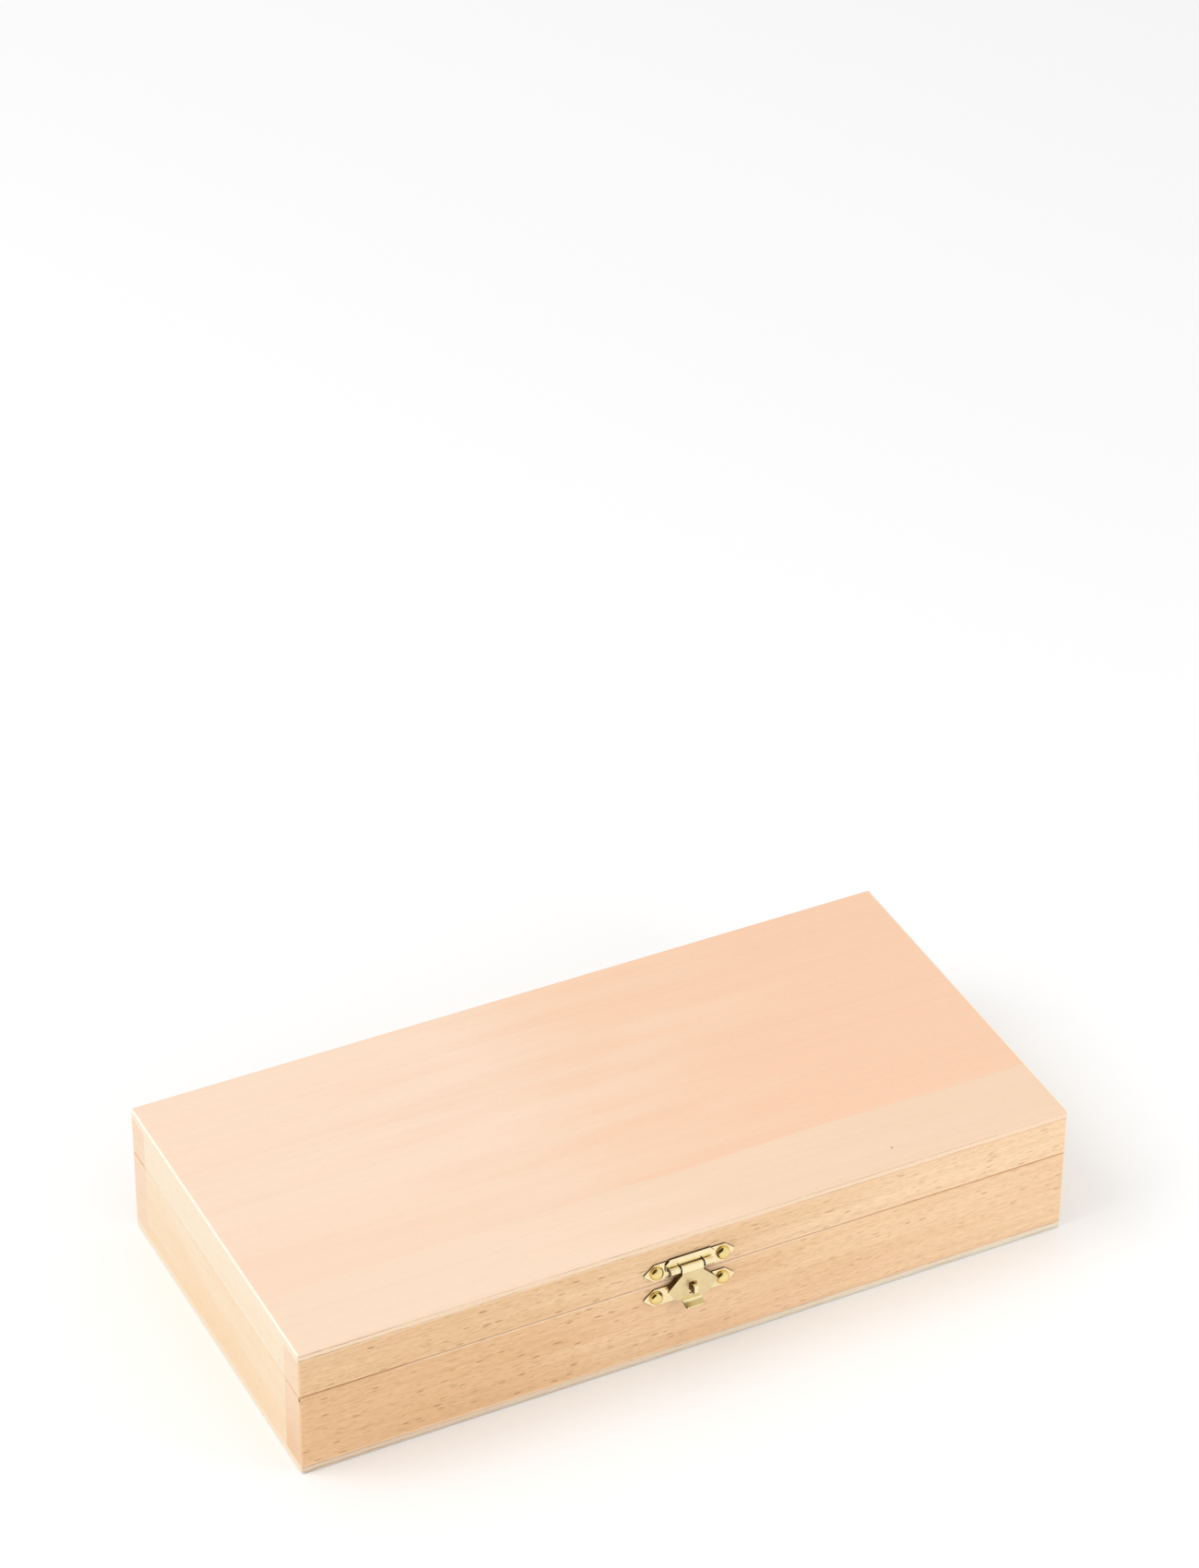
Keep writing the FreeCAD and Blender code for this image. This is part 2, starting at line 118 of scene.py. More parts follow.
# Boards: how strongly each pattern shows, over a span of its own values
CLOUD_SPAN = (0.25, 0.75)
BOARD_CLOUDS = 0.35
BLUSH_LAYER = Layer((0.45, 0.8), 0.3)
BAND_LAYER = Layer((0.35, 0.75), 0.16)
FIBRE_LAYER = Layer((0.42, 0.72), 0.26)
PALE_LAYER = Layer((0.5, 0.8), 0.45)
SMALL_FLECK_SHARE = 0.45
FAINT_STREAK_SHARE = 0.35
FLECK_SHARE = 0.8
RAY_LAYER = Layer((0.4, 0.75), 0.13)
END_PORE_SHARE = 0.2
END_FACING = (0.6, 0.9)
FRONT_FIGURE = 1.0
SIDE_FIGURE = 0.22

# Boards: where the tone changes, in millimetres along X, Y or Z
FLECKS_THIN = (-45.0, 15.0)
THINNED_SHARE = 0.65
FRONT_BOARD = (-48.0, -52.0)
END_DEEPENS = (36.0, 2.0)

# Boards: worn corners, painted light on the rims along the parting and a dark mark at the near corner, in
# millimetres from what the name says, or along X or Z
WORN_CORNER = Layer((1.1, 0.2), 0.5)
RIM_FROM_PARTING = (0.8, 0.3)
RIM_FROM_WALL = (1.8, 0.9)
RIM_LEFT = (-80.0, -105.0)
RIM_RIGHT = (20.0, 95.0)
RIM_SHARES = (0.65, 0.05)
DARK_MARK_FROM_CORNER = Layer((0.7, 0.35), 0.8)
DARK_MARK_FOOT = (26.9, 27.7)
DARK_MARK_TOP = (PARTING, 28.5)

# Panels: colour of the veneer leaves, from each leaf's first colour at the left end to its second at the
# right and towards the front, along X and Y, the seam between two of them and a knot, in millimetres
VENEER_SLOPE = Layer(LENGTHWISE, 0.8)
VENEER_STEP = Layer((-32.0, 4.0), 0.2)
FRONT_STEP = Layer((5.0, -30.0), 0.2)
VENEER_CLOUDS = 0.2
SEAM_SPAN = (0.2, 0.8)
SEAM_SWING = 0.8
LEAF_SEAM = -36.0
SEAM_BLUR = 0.6
SEAM_BLEND = (LEAF_SEAM - SEAM_BLUR, LEAF_SEAM + SEAM_BLUR)
KNOT = (70.0, -54.0)
KNOT_RADIUS = 0.45
KNOT_CORE = 0.4
KNOT_LAYER = Layer((KNOT_RADIUS, KNOT_RADIUS * KNOT_CORE), 0.8)

# Panels: figure of the outer and the inner veneer, and how strongly each pattern shows
VENEER_FIGURE = (0.04, 0.16)
VENEER_BAND_SPAN = (0.4, 0.75)
VENEER_FIBRE_SPAN = (0.5, 0.8)
VENEER_FLECK_GAIN = 2.0
CORE_RING_LAYER = Layer((0.4, 0.8), 0.14)
CORE_PORE_SHARE = 0.16

# Panels: depths of the veneers and glue lines in millimetres, the gaps in the glue, and the edges: pale end
# faces and a painted highlight along the outer face's end edges
VENEER = 0.7
VENEER_BLUR = 0.1
VENEER_BLEND = (VENEER - VENEER_BLUR, VENEER + VENEER_BLUR)
RAGGED_SPAN = (0.3, 0.7)
RAGGED_SWING = 0.1
GLUE_WIDTH = 0.17
GLUE_CORE = 0.3
GLUE_LINE = (GLUE_WIDTH, GLUE_WIDTH * GLUE_CORE)
GLUE_SPAN = (0.35, 0.65)
GLUE_SHARES = (0.05, 0.55)
GLUE_AT_LEFT = Layer((-70.0, -115.0), 0.5)
PLY_END_FACING = Layer((0.5, 0.8), 0.85)
EDGE_HIGHLIGHT_LAYER = Layer((0.7, 0.35), 0.85)

# Wood: roughness between two values over a span, and relief as (millimetres, strength)
BOARD_DULL_SPAN = (0.2, 1.0)
BOARD_ROUGHNESS = (0.5, 0.72)
FLECK_DULLNESS = 0.3
PLY_DULL_SPAN = (0.2, 0.8)
PLY_ROUGHNESS = (0.5, 0.66)
WOOD_SPECULAR = 0.3
FIBRE_RELIEF = 0.5
GRIT_RELIEF = 0.25
BOARD_BUMP = (0.05, 0.35)
PLY_BUMP = (0.04, 0.25)

# Marks in the metal, in millimetres along X, Y and Z
CLOUDS = Noise((3.0, 3.0, 3.0), 3.0, 0.6)
STEEL_CLOUDS = CLOUDS._replace(roughness=0.5)
SCRATCHES = Noise((4.0, 0.06, 0.06), 3.0, 0.65)
# Patches that break up the painted shade on cut edges
EDGE_SHADE_PATCHES = Noise((1.4, 1.4, 1.4))
DENTS = Noise((1.1, 1.1, 1.1), 1.0)
DRAWN_LINES = Noise((6.0, 0.05, 0.05))
FRECKLES = Marks((0.9, 0.9, 0.9), 0.3, 0.22)

# Heights and distances out, in millimetres, where sheet brass is rolled or bent rather than cut
HASP_BARREL_TOP = 34.45
FLAP_BARREL_FOOT = 32.1
FLAP_LIP_TOP = 22.0
CATCH_NOSE_OUT = -62.6
HINGE_BARREL_OUT = 62.9
ROLL_BLEND = 0.15

# Brass: how strongly each mark shows, which sides are cut edges that get painted shade, the painted
# reflection on the flap's lip, the painted shade along the foot of its barrel, and the barrel's polish
BRASS_CLOUD_LAYER = Layer((0.35, 0.8), 0.12)
FRECKLE_SHARE = 0.2
SIDEWAYS = (0.3, 0.6)
EDGEWAYS = (0.55, 0.2)
PATCH_SPAN = (0.3, 0.7)
PATCH_SHARES = (0.9, 1.0)
LIP_REFLECTION = Layer((FLAP_LIP_TOP, FLAP_LIP_TOP - ROLL_BLEND), 0.9)
BARREL_FOOT_SHADE = Layer((0.5, 0.15), 0.12)
BARREL_POLISH = 0.45

# Metal: roughness, what wears it over a span, and relief as (millimetres, strength)
PLATE_ROUGHNESS = 0.16
FLAP_ROUGHNESS = 0.34
HINGE_ROUGHNESS = 0.24
NAIL_ROUGHNESS = 0.2
CLOUD_WEAR = 0.6
SCRATCH_WEAR = 0.4
WEAR_SPAN = (0.3, 0.75)
WEAR_GAINS = (0.75, 1.4)
SCRATCH_RELIEF = 0.06
BRASS_BUMP = (0.06, 0.35)
STEEL_SPOT_SPAN = (0.35, 0.8)
DRAWN_SPAN = (0.2, 0.8)
STEEL_ROUGHNESS = (0.25, 0.5)
STEEL_BUMP = (0.01, 0.3)

# Nails, in millimetres: head as (radius, rise), columns along X and rows up Z
HASP_SHEET = 0.5
HINGE_SHEET = 0.8
HASP_HEAD = (2.2, 1.9)
HINGE_HEAD = (1.5, 0.5)
SHANK_RADIUS = 0.45
SHANK_DEPTH = 7.4
POINT_LENGTH = 1.4
HASP_COLUMNS = (-12.5, 9.3)
HINGE_COLUMNS = (-81.0, -67.0, 67.0, 81.0)
HASP_ROW = 33.55
CATCH_ROW = 24.15
HINGE_LID_ROW = 34.35
HINGE_BASE_ROW = 23.35

# Nails: a head's rim and underside as shares of its rise and radius, its steps, and how near points merge
HEAD_RIM = 0.06
HEAD_UNDERSIDE = 0.93
HEAD_SIDES = 40
HEAD_RINGS = 10
MERGE_DISTANCE = 1e-7

# Colours
BASE_LIGHT = (0.92, 0.65, 0.405, 1)
BASE_DARK = (0.81, 0.515, 0.28, 1)
LID_LIGHT = (0.94, 0.68, 0.435, 1)
LID_DARK = (0.83, 0.55, 0.31, 1)
SIDE_LIGHT = (0.87, 0.74, 0.57, 1)
SIDE_DARK = (0.87, 0.66, 0.44, 1)
PINK = (0.84, 0.52, 0.34, 1)
END_GRAIN = (0.86, 0.65, 0.475, 1)
END_DEEP = (0.80, 0.535, 0.335, 1)
TOP_PALE = (0.885, 0.675, 0.515, 1)
TOP_PINK = (0.875, 0.575, 0.395, 1)
STRIP_PALE = (0.88, 0.67, 0.505, 1)
STRIP_PINK = (0.85, 0.62, 0.445, 1)
BOTTOM_PALE = (0.76, 0.61, 0.46, 1)
BOTTOM_GREY = (0.82, 0.73, 0.58, 1)
TOP_CORE = (0.90, 0.69, 0.49, 1)
INNER_PALE = (0.87, 0.61, 0.39, 1)
INNER_PINK = (0.85, 0.57, 0.36, 1)
PLY_END = (0.88, 0.74, 0.57, 1)
# Painted highlight for the panels' end edges
PAINTED_EDGE_HIGHLIGHT = (0.96, 0.90, 0.79, 1)
# Painted light for the rims along the parting
RIM_PAINTED_LIGHT = (0.93, 0.74, 0.55, 1)
GLUE = (0.42, 0.25, 0.12, 1)
FLECK = (0.40, 0.20, 0.075, 1)
# Dark mark at the near corner below the parting
DARK_MARK_COLOUR = (0.26, 0.13, 0.045, 1)
BRASS_POLISHED = (0.96, 0.83, 0.52, 1)
BRASS_SATIN = (0.82, 0.67, 0.39, 1)
BRASS_NAIL = (0.90, 0.715, 0.31, 1)
# Painted reflection for the flap's lip
BRASS_LIP_REFLECTION = (0.98, 0.88, 0.56, 1)
BRASS_BROWN = (0.24, 0.13, 0.035, 1)
# Painted shade for the cut edges of brass
BRASS_EDGE_SHADE = (0.075, 0.038, 0.009, 1)
STEEL = (0.56, 0.54, 0.50, 1)
STEEL_DARK = (0.30, 0.28, 0.25, 1)

# First seed of each material's patterns
SEEDS = {
    "base_front_board": 1,
    "base_back_board": 21,
    "base_left_board": 41,
    "base_right_board": 61,
    "lid_front_board": 101,
    "lid_back_board": 121,
    "lid_left_board": 141,
    "lid_right_board": 161,
    "lid_top_panel": 301,
    "base_bottom_panel": 321,
    "hasp_plate": 401,
    "catch_plate": 411,
    "hasp_flap": 421,
    "hinge_left_base_leaf": 431,
    "hinge_left_lid_leaf": 441,
    "hinge_right_base_leaf": 451,
    "hinge_right_lid_leaf": 461,
    "hinge_left_pin": 481,
    "hinge_right_pin": 486,
    "hasp_pin": 491,
    "nails": 501,
}


class Recipe:
    """Node tree of one material, with short ways to add the nodes used most. Positions are in millimetres."""

    def __init__(self, name):
        self.material = bpy.data.materials.new(name)
        self.material.use_nodes = True
        self.tree = self.material.node_tree
        self.tree.nodes.clear()
        self.shader = self.add("ShaderNodeBsdfPrincipled")
        output = self.add("ShaderNodeOutputMaterial")
        self.feed(output.inputs["Surface"], self.shader.outputs[0])
        where = self.add("ShaderNodeTexCoord")
        inputs = {0: where.outputs["Object"], "Scale": 1 / MM}
        place = self.add("ShaderNodeVectorMath", inputs, operation="SCALE").outputs[0]
        self.at = dict(zip("XYZ", self.add("ShaderNodeSeparateXYZ", {0: place}).outputs))
        normal = self.add("ShaderNodeSeparateXYZ", {0: where.outputs["Normal"]})
        self.facing = {axis: self.maths("ABSOLUTE", socket) for axis, socket in zip("XYZ", normal.outputs)}

    def feed(self, socket, value):
        if isinstance(value, bpy.types.NodeSocket):
            self.tree.links.new(value, socket)
        else:
            socket.default_value = value

    def add(self, kind, inputs=None, **settings):
        node = self.tree.nodes.new(kind)
        for name, value in settings.items():
            setattr(node, name, value)
        for name, value in (inputs or {}).items():
            self.feed(node.inputs[name], value)
        return node

    def maths(self, operation, first, second=0.0):
        return self.add("ShaderNodeMath", {0: first, 1: second}, operation=operation).outputs[0]

    def product(self, first, *others):
        for value in others:
            first = self.maths("MULTIPLY", first, value)
        return first

    def fade(self, value, span, low=0.0, high=1.0):
        """Goes smoothly from low to high as the value goes through a span."""
        start, end = span
        inputs = {"Value": value, "From Min": start, "From Max": end, "To Min": low, "To Max": high}
        return self.add("ShaderNodeMapRange", inputs, interpolation_type="SMOOTHSTEP").outputs[0]

    def swing(self, value, span, reach):
        return self.fade(value, span, -reach, reach)

    def mix(self, factor, first, second):
        node = self.add("ShaderNodeMix", data_type="RGBA")
        sockets = {socket.identifier: socket for socket in node.inputs}
        self.feed(sockets["Factor_Float"], factor)
        self.feed(sockets["A_Color"], first)
        self.feed(sockets["B_Color"], second)
        return next(socket for socket in node.outputs if socket.identifier == "Result_Color")

    def ramp(self, value, layer, share=1.0):
        """Rises to a share of a layer's strength as the value goes through the layer's span."""
        return self.fade(value, layer.span, 0.0, layer.strength * share)

    def lay(self, colour, tint, value, layer, share=1.0):
        return self.mix(self.ramp(value, layer, share), colour, tint)

    def stretched(self, axes, sizes, seed):
        """Position along three axes, moved by the seed and divided by each axis's own size."""
        parts = []
        for axis, size, step in zip(axes, sizes, SEED_STEPS):
            parts.append(self.maths("DIVIDE", self.maths("ADD", self.at[axis], seed * step), size))
        return self.add("ShaderNodeCombineXYZ", dict(enumerate(parts))).outputs[0]

    def noise(self, axes, pattern, seed):
        inputs = {
            "Vector": self.stretched(axes, pattern.sizes, seed),
            "Scale": 1.0,
            "Detail": pattern.detail,
            "Roughness": pattern.roughness,
        }
        return self.add("ShaderNodeTexNoise", inputs).outputs[0]

    def dashes(self, axes, pattern, seed):
        """Short separate marks: a share of the cells each hold one, of its own strength."""
        inputs = {"Vector": self.stretched(axes, pattern.sizes, seed), "Scale": 1.0, "Randomness": 1.0}
        cells = self.add("ShaderNodeTexVoronoi", inputs)
        chance = self.add("ShaderNodeSeparateColor", {0: cells.outputs["Color"]})
        mark = self.fade(cells.outputs["Distance"], (pattern.reach, pattern.reach * MARK_CORE))
        held = self.maths("LESS_THAN", chance.outputs[0], pattern.share)
        strength = self.fade(chance.outputs[1], WHOLE, FAINTEST_MARK, 1.0)
        return self.product(mark, held, strength)

    def distance(self, axis, level):
        return self.maths("ABSOLUTE", self.maths("SUBTRACT", self.at[axis], level))

    def inward(self, axis, half):
        """Depth inside the outer walls that stand at plus and minus half along an axis."""
        return self.maths("SUBTRACT", half, self.maths("ABSOLUTE", self.at[axis]))

    def bump(self, height, relief):
        distance, strength = relief
        node = self.add("ShaderNodeBump", {"Height": height, "Distance": distance * MM, "Strength": strength})
        self.feed(self.shader.inputs["Normal"], node.outputs[0])


def painted_rim_light_and_corner_mark(wood, colour, amount):
    """Painted light on the rims along the parting, lightening the gap's shade most between the ends, and a
    dark mark at the near corner.
    """
    # painted light on the rims along the parting, which lightens the shade of the gap, strongest between the
    # ends
    near_rim = wood.fade(wood.distance("Z", PARTING), RIM_FROM_PARTING, 0.0, amount)
    left = wood.fade(wood.at["X"], RIM_LEFT)
    right = wood.fade(wood.at["X"], RIM_RIGHT)
    between = wood.fade(wood.maths("MAXIMUM", left, right), WHOLE, *RIM_SHARES)
    depth = wood.maths("MINIMUM", wood.inward("X", HALF_LENGTH), wood.inward("Y", HALF_DEPTH))
    lit_rim = wood.product(near_rim, between, wood.fade(depth, RIM_FROM_WALL))
    colour = wood.mix(lit_rim, colour, RIM_PAINTED_LIGHT)
    # darker in a small mark at the near vertical corner, just below the parting
    off_corner = wood.maths("MAXIMUM", wood.distance("X", -HALF_LENGTH), wood.distance("Y", -HALF_DEPTH))
    below = wood.product(wood.fade(wood.at["Z"], DARK_MARK_FOOT), wood.fade(wood.at["Z"], DARK_MARK_TOP))
    dark_mark = wood.product(wood.ramp(off_corner, DARK_MARK_FROM_CORNER), below)
    return wood.mix(dark_mark, colour, DARK_MARK_COLOUR)


def beech_flecks(wood, grain, seed):
    """Flecks of three sizes, fainter towards the right end."""
    bold = wood.dashes(grain, BOLD_FLECKS, seed)
    small = wood.product(wood.dashes(grain, SMALL_FLECKS, seed + 1), SMALL_FLECK_SHARE)
    faint = wood.product(wood.dashes(grain, FAINT_STREAKS, seed + 2), FAINT_STREAK_SHARE)
    flecks = wood.maths("MAXIMUM", wood.maths("MAXIMUM", bold, small), faint)
    return wood.product(flecks, wood.fade(wood.at["X"], FLECKS_THIN, 1.0, THINNED_SHARE))


def end_grain(wood, grain, seed):
    """Colour of the boards' ends: rays and pores, on a tone that deepens down the front boards."""
    lower_front = wood.product(wood.fade(wood.at["Y"], FRONT_BOARD), wood.fade(wood.at["Z"], END_DEEPENS))
    colour = wood.mix(lower_front, END_GRAIN, END_DEEP)
    colour = wood.lay(colour, FLECK, wood.noise(grain, END_RAYS, seed), RAY_LAYER)
    pores = wood.product(wood.dashes(grain, END_PORES, seed + 1), END_PORE_SHARE)
    return wood.mix(pores, colour, FLECK)


def beech(name, grain, light, dark, tone, seed, figure):
    """Solid beech, its grain along the first of three axes: a clouded colour running from dark to light along
    X or up Z, bands, fibres, flecks and end grain.
    """
    wood = Recipe(name)
    tone_axis, tone_span = tone
    # darker at the left end and lighter at the right on the front and back boards, darker at the bottom and
    # lighter at the top on the side boards
    slope = wood.fade(wood.at[tone_axis], tone_span)
    clouds = wood.swing(wood.noise(grain, TONE_CLOUDS, seed), CLOUD_SPAN, BOARD_CLOUDS)
    colour = wood.mix(wood.fade(wood.maths("ADD", slope, clouds), WHOLE), dark, light)
    colour = wood.lay(colour, PINK, wood.noise(grain, BLUSH, seed + 1), BLUSH_LAYER, figure)
    colour = wood.lay(colour, FLECK, wood.noise(grain, GROWTH_BANDS, seed + 2), BAND_LAYER, figure)
    fibres = wood.noise(grain, FIBRES, seed + 3)
    colour = wood.lay(colour, FLECK, fibres, FIBRE_LAYER, figure)
    colour = wood.lay(colour, light, wood.noise(grain, PALE_FIBRES, seed + 4), PALE_LAYER, figure)
    flecks = beech_flecks(wood, grain, seed + 5)
    colour = wood.mix(wood.product(flecks, FLECK_SHARE * figure), colour, FLECK)
    cut_across = wood.fade(wood.facing[grain[0]], END_FACING)
    colour = wood.mix(cut_across, colour, end_grain(wood, grain, seed + 8))
    off_corner = wood.maths("MAXIMUM", wood.inward("X", HALF_LENGTH), wood.inward("Y", HALF_DEPTH))
    colour = wood.lay(colour, light, off_corner, WORN_CORNER)
    wood.feed(wood.shader.inputs["Base Color"], painted_rim_light_and_corner_mark(wood, colour, figure))

    grit = wood.noise(grain, GRIT, seed + 10)
    dullness = wood.maths("ADD", grit, wood.product(flecks, FLECK_DULLNESS))
    wood.feed(wood.shader.inputs["Roughness"], wood.fade(dullness, BOARD_DULL_SPAN, *BOARD_ROUGHNESS))
    height = wood.maths("SUBTRACT", wood.product(fibres, FIBRE_RELIEF), flecks)
    wood.bump(wood.maths("ADD", height, wood.product(grit, GRIT_RELIEF)), BOARD_BUMP)
    wood.shader.inputs["Specular IOR Level"].default_value = WOOD_SPECULAR
    return wood.material


def veneer_face(ply, grain, leaves, inside, seed):
    """Colour of a panel's faces, and its flecks: two leaves outside, a warmer one inside and one pin knot."""
    # from each leaf's first colour at the left end to its second at the right, and on the main leaf towards
    # the front
    slope = ply.ramp(ply.at["X"], VENEER_SLOPE)
    step = ply.ramp(ply.at["X"], VENEER_STEP)
    clouds = ply.swing(ply.noise(grain, TONE_CLOUDS, seed), CLOUD_SPAN, VENEER_CLOUDS)
    shade = ply.fade(ply.maths("ADD", ply.maths("ADD", slope, step), clouds), WHOLE)
    toward_front = ply.ramp(ply.at["Y"], FRONT_STEP)
    main_leaf = ply.mix(ply.maths("ADD", shade, toward_front), *leaves[0])
    front_leaf = ply.mix(shade, *leaves[1])
    wander = ply.swing(ply.noise(grain, SEAM_WANDER, seed + 1), SEAM_SPAN, SEAM_SWING)
    seam = ply.maths("ADD", ply.at["Y"], wander)
    colour = ply.mix(ply.fade(seam, SEAM_BLEND), front_leaf, main_leaf)
    colour = ply.mix(inside, colour, ply.mix(shade, INNER_PALE, INNER_PINK))
    figure = ply.fade(inside, WHOLE, *VENEER_FIGURE)
    bands = ply.fade(ply.noise(grain, GROWTH_BANDS, seed + 2), VENEER_BAND_SPAN)
    colour = ply.mix(ply.product(bands, figure), colour, FLECK)
    fibres = ply.fade(ply.noise(grain, VENEER_FIBRES, seed + 3), VENEER_FIBRE_SPAN)
    colour = ply.mix(ply.product(fibres, figure), colour, FLECK)
    flecks = ply.dashes(grain, VENEER_FLECKS, seed + 4)
    colour = ply.mix(ply.product(flecks, ply.product(figure, VENEER_FLECK_GAIN)), colour, FLECK)
    off_knot = ply.maths("MAXIMUM", ply.distance("X", KNOT[0]), ply.distance("Y", KNOT[1]))
    return ply.lay(colour, FLECK, off_knot, KNOT_LAYER), flecks


def plywood(name, outer, inner, leaves, core_colours, seed):
    """Thin three-ply panel between two levels: veneers, broken glue lines and a core laid across."""
    ply = Recipe(name)
    grain = "XYZ"
    core_grain = "YXZ"
    from_outer = ply.distance("Z", outer)
    from_inner = ply.distance("Z", inner)
    ragged = ply.swing(ply.noise(grain, RAGGED_PLY, seed), RAGGED_SPAN, RAGGED_SWING)
    depth = ply.maths("ADD", ply.maths("MINIMUM", from_outer, from_inner), ragged)
    inside = ply.maths("LESS_THAN", from_inner, from_outer)
    face, flecks = veneer_face(ply, grain, leaves, inside, seed + 1)
    core = ply.mix(ply.fade(ply.at["X"], LENGTHWISE), *core_colours)
    core = ply.lay(core, FLECK, ply.noise(core_grain, CORE_RINGS, seed + 6), CORE_RING_LAYER)
    pores = ply.product(ply.dashes(core_grain, CORE_PORES, seed + 7), CORE_PORE_SHARE)
    core = ply.mix(pores, core, FLECK)
    colour = ply.mix(ply.fade(depth, VENEER_BLEND), face, core)

    off_glue = ply.maths("ABSOLUTE", ply.maths("SUBTRACT", depth, VENEER))
    unbroken = ply.fade(ply.noise(grain, BROKEN_GLUE, seed + 8), GLUE_SPAN, *GLUE_SHARES)
    shows = ply.maths("ADD", unbroken, ply.ramp(ply.at["X"], GLUE_AT_LEFT))
    glue = ply.product(ply.fade(off_glue, GLUE_LINE), shows)
    colour = ply.mix(glue, colour, GLUE)
    colour = ply.lay(colour, PLY_END, ply.facing["X"], PLY_END_FACING)
    # painted highlight along the end edges of the outer face
    off_edge = ply.maths("MAXIMUM", ply.inward("X", HALF_LENGTH), from_outer)
    colour = ply.lay(colour, PAINTED_EDGE_HIGHLIGHT, off_edge, EDGE_HIGHLIGHT_LAYER)
    ply.feed(ply.shader.inputs["Base Color"], colour)

    grit = ply.noise(grain, GRIT, seed + 9)
    ply.feed(ply.shader.inputs["Roughness"], ply.fade(grit, PLY_DULL_SPAN, *PLY_ROUGHNESS))
    height = ply.maths("SUBTRACT", ply.product(grit, GRIT_RELIEF), ply.maths("ADD", flecks, glue))
    ply.bump(height, PLY_BUMP)
    ply.shader.inputs["Specular IOR Level"].default_value = WOOD_SPECULAR
    return ply.material


def painted_edge_shade(metal, rolled, seed):
    """Painted shade on the cut edges of stamped sheet: sides that don't face out, except where it is rolled
    or bent.
    """
    sideways = metal.fade(metal.facing["X"], SIDEWAYS)
    edgeways = metal.fade(metal.facing["Y"], EDGEWAYS)
    for axis, span in rolled:
        edgeways = metal.product(edgeways, metal.fade(metal.at[axis], span))
    patches = metal.fade(metal.noise("XYZ", EDGE_SHADE_PATCHES, seed), PATCH_SPAN, *PATCH_SHARES)
    return metal.product(metal.maths("MAXIMUM", sideways, edgeways), patches)


def paint_flap_light(metal, colour):
    """Colour of a flap with a painted reflection on its lip, painted shade along the foot of its barrel, and
    a barrel of polished brass whose brighter colour is partly a painted highlight.
    """
    # painted reflection: the lip brightened to stand in for the bright floor it mirrors
    colour = metal.lay(colour, BRASS_LIP_REFLECTION, metal.at["Z"], LIP_REFLECTION)
    # painted shade along the crease at the foot of the barrel
    colour = metal.lay(colour, BRASS_BROWN, metal.distance("Z", FLAP_BARREL_FOOT), BARREL_FOOT_SHADE)
    # barrel in polished brass: smoother, and its brighter colour partly a painted highlight
    barrel = metal.fade(metal.at["Z"], (FLAP_BARREL_FOOT, FLAP_BARREL_FOOT + ROLL_BLEND))
    return metal.mix(barrel, colour, BRASS_POLISHED), barrel


def brass(name, bright, roughness, seed, rolled=None, is_flap=False):
    """Stamped brass with a cloudy tone, freckles, scratches and painted shade on its cut edges."""
    metal = Recipe(name)
    clouds = metal.noise("XYZ", CLOUDS, seed)
    colour = metal.lay(bright, BRASS_BROWN, clouds, BRASS_CLOUD_LAYER)
    barrel = None
    if is_flap:
        colour, barrel = paint_flap_light(metal, colour)
    freckles = metal.dashes("XYZ", FRECKLES, seed + 1)
    colour = metal.mix(metal.product(freckles, FRECKLE_SHARE), colour, BRASS_BROWN)
    if rolled is not None:
        # painted shade: cut edges darkened to stand in for the shade and dark reflections on them
        colour = metal.mix(painted_edge_shade(metal, rolled, seed + 2), colour, BRASS_EDGE_SHADE)
    metal.feed(metal.shader.inputs["Base Color"], colour)
    metal.shader.inputs["Metallic"].default_value = 1.0

    scratches = metal.noise("XYZ", SCRATCHES, seed + 3)
    wear = metal.maths("ADD", metal.product(clouds, CLOUD_WEAR), metal.product(scratches, SCRATCH_WEAR))
    dullness = metal.fade(wear, WEAR_SPAN, *(roughness * gain for gain in WEAR_GAINS))
    if barrel is not None:
        dullness = metal.product(dullness, metal.fade(barrel, WHOLE, 1.0, BARREL_POLISH))
    metal.feed(metal.shader.inputs["Roughness"], dullness)
    dents = metal.noise("XYZ", DENTS, seed + 4)
    metal.bump(metal.maths("ADD", dents, metal.product(scratches, SCRATCH_RELIEF)), BRASS_BUMP)
    return metal.material


def steel(name, seed):
    """Drawn steel wire of the pins, with fine lines and dull spots."""
    metal = Recipe(name)
    spots = metal.fade(metal.noise("XYZ", STEEL_CLOUDS, seed), STEEL_SPOT_SPAN)
    metal.feed(metal.shader.inputs["Base Color"], metal.mix(spots, STEEL, STEEL_DARK))
    metal.shader.inputs["Metallic"].default_value = 1.0
    drawn = metal.noise("XYZ", DRAWN_LINES, seed + 1)
    metal.feed(metal.shader.inputs["Roughness"], metal.fade(drawn, DRAWN_SPAN, *STEEL_ROUGHNESS))
    metal.bump(drawn, STEEL_BUMP)
    return metal.material


def dress(node, material):
    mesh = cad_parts[node].data
    mesh.materials.clear()
    mesh.materials.append(material)


def dress_boards(part, sides, grain, colours, tone, figure):
    for side in sides:
        name = f"{part}_{side}_board"
        dress(name, beech("beech_" + name, grain, *colours, tone, SEEDS[name], figure))


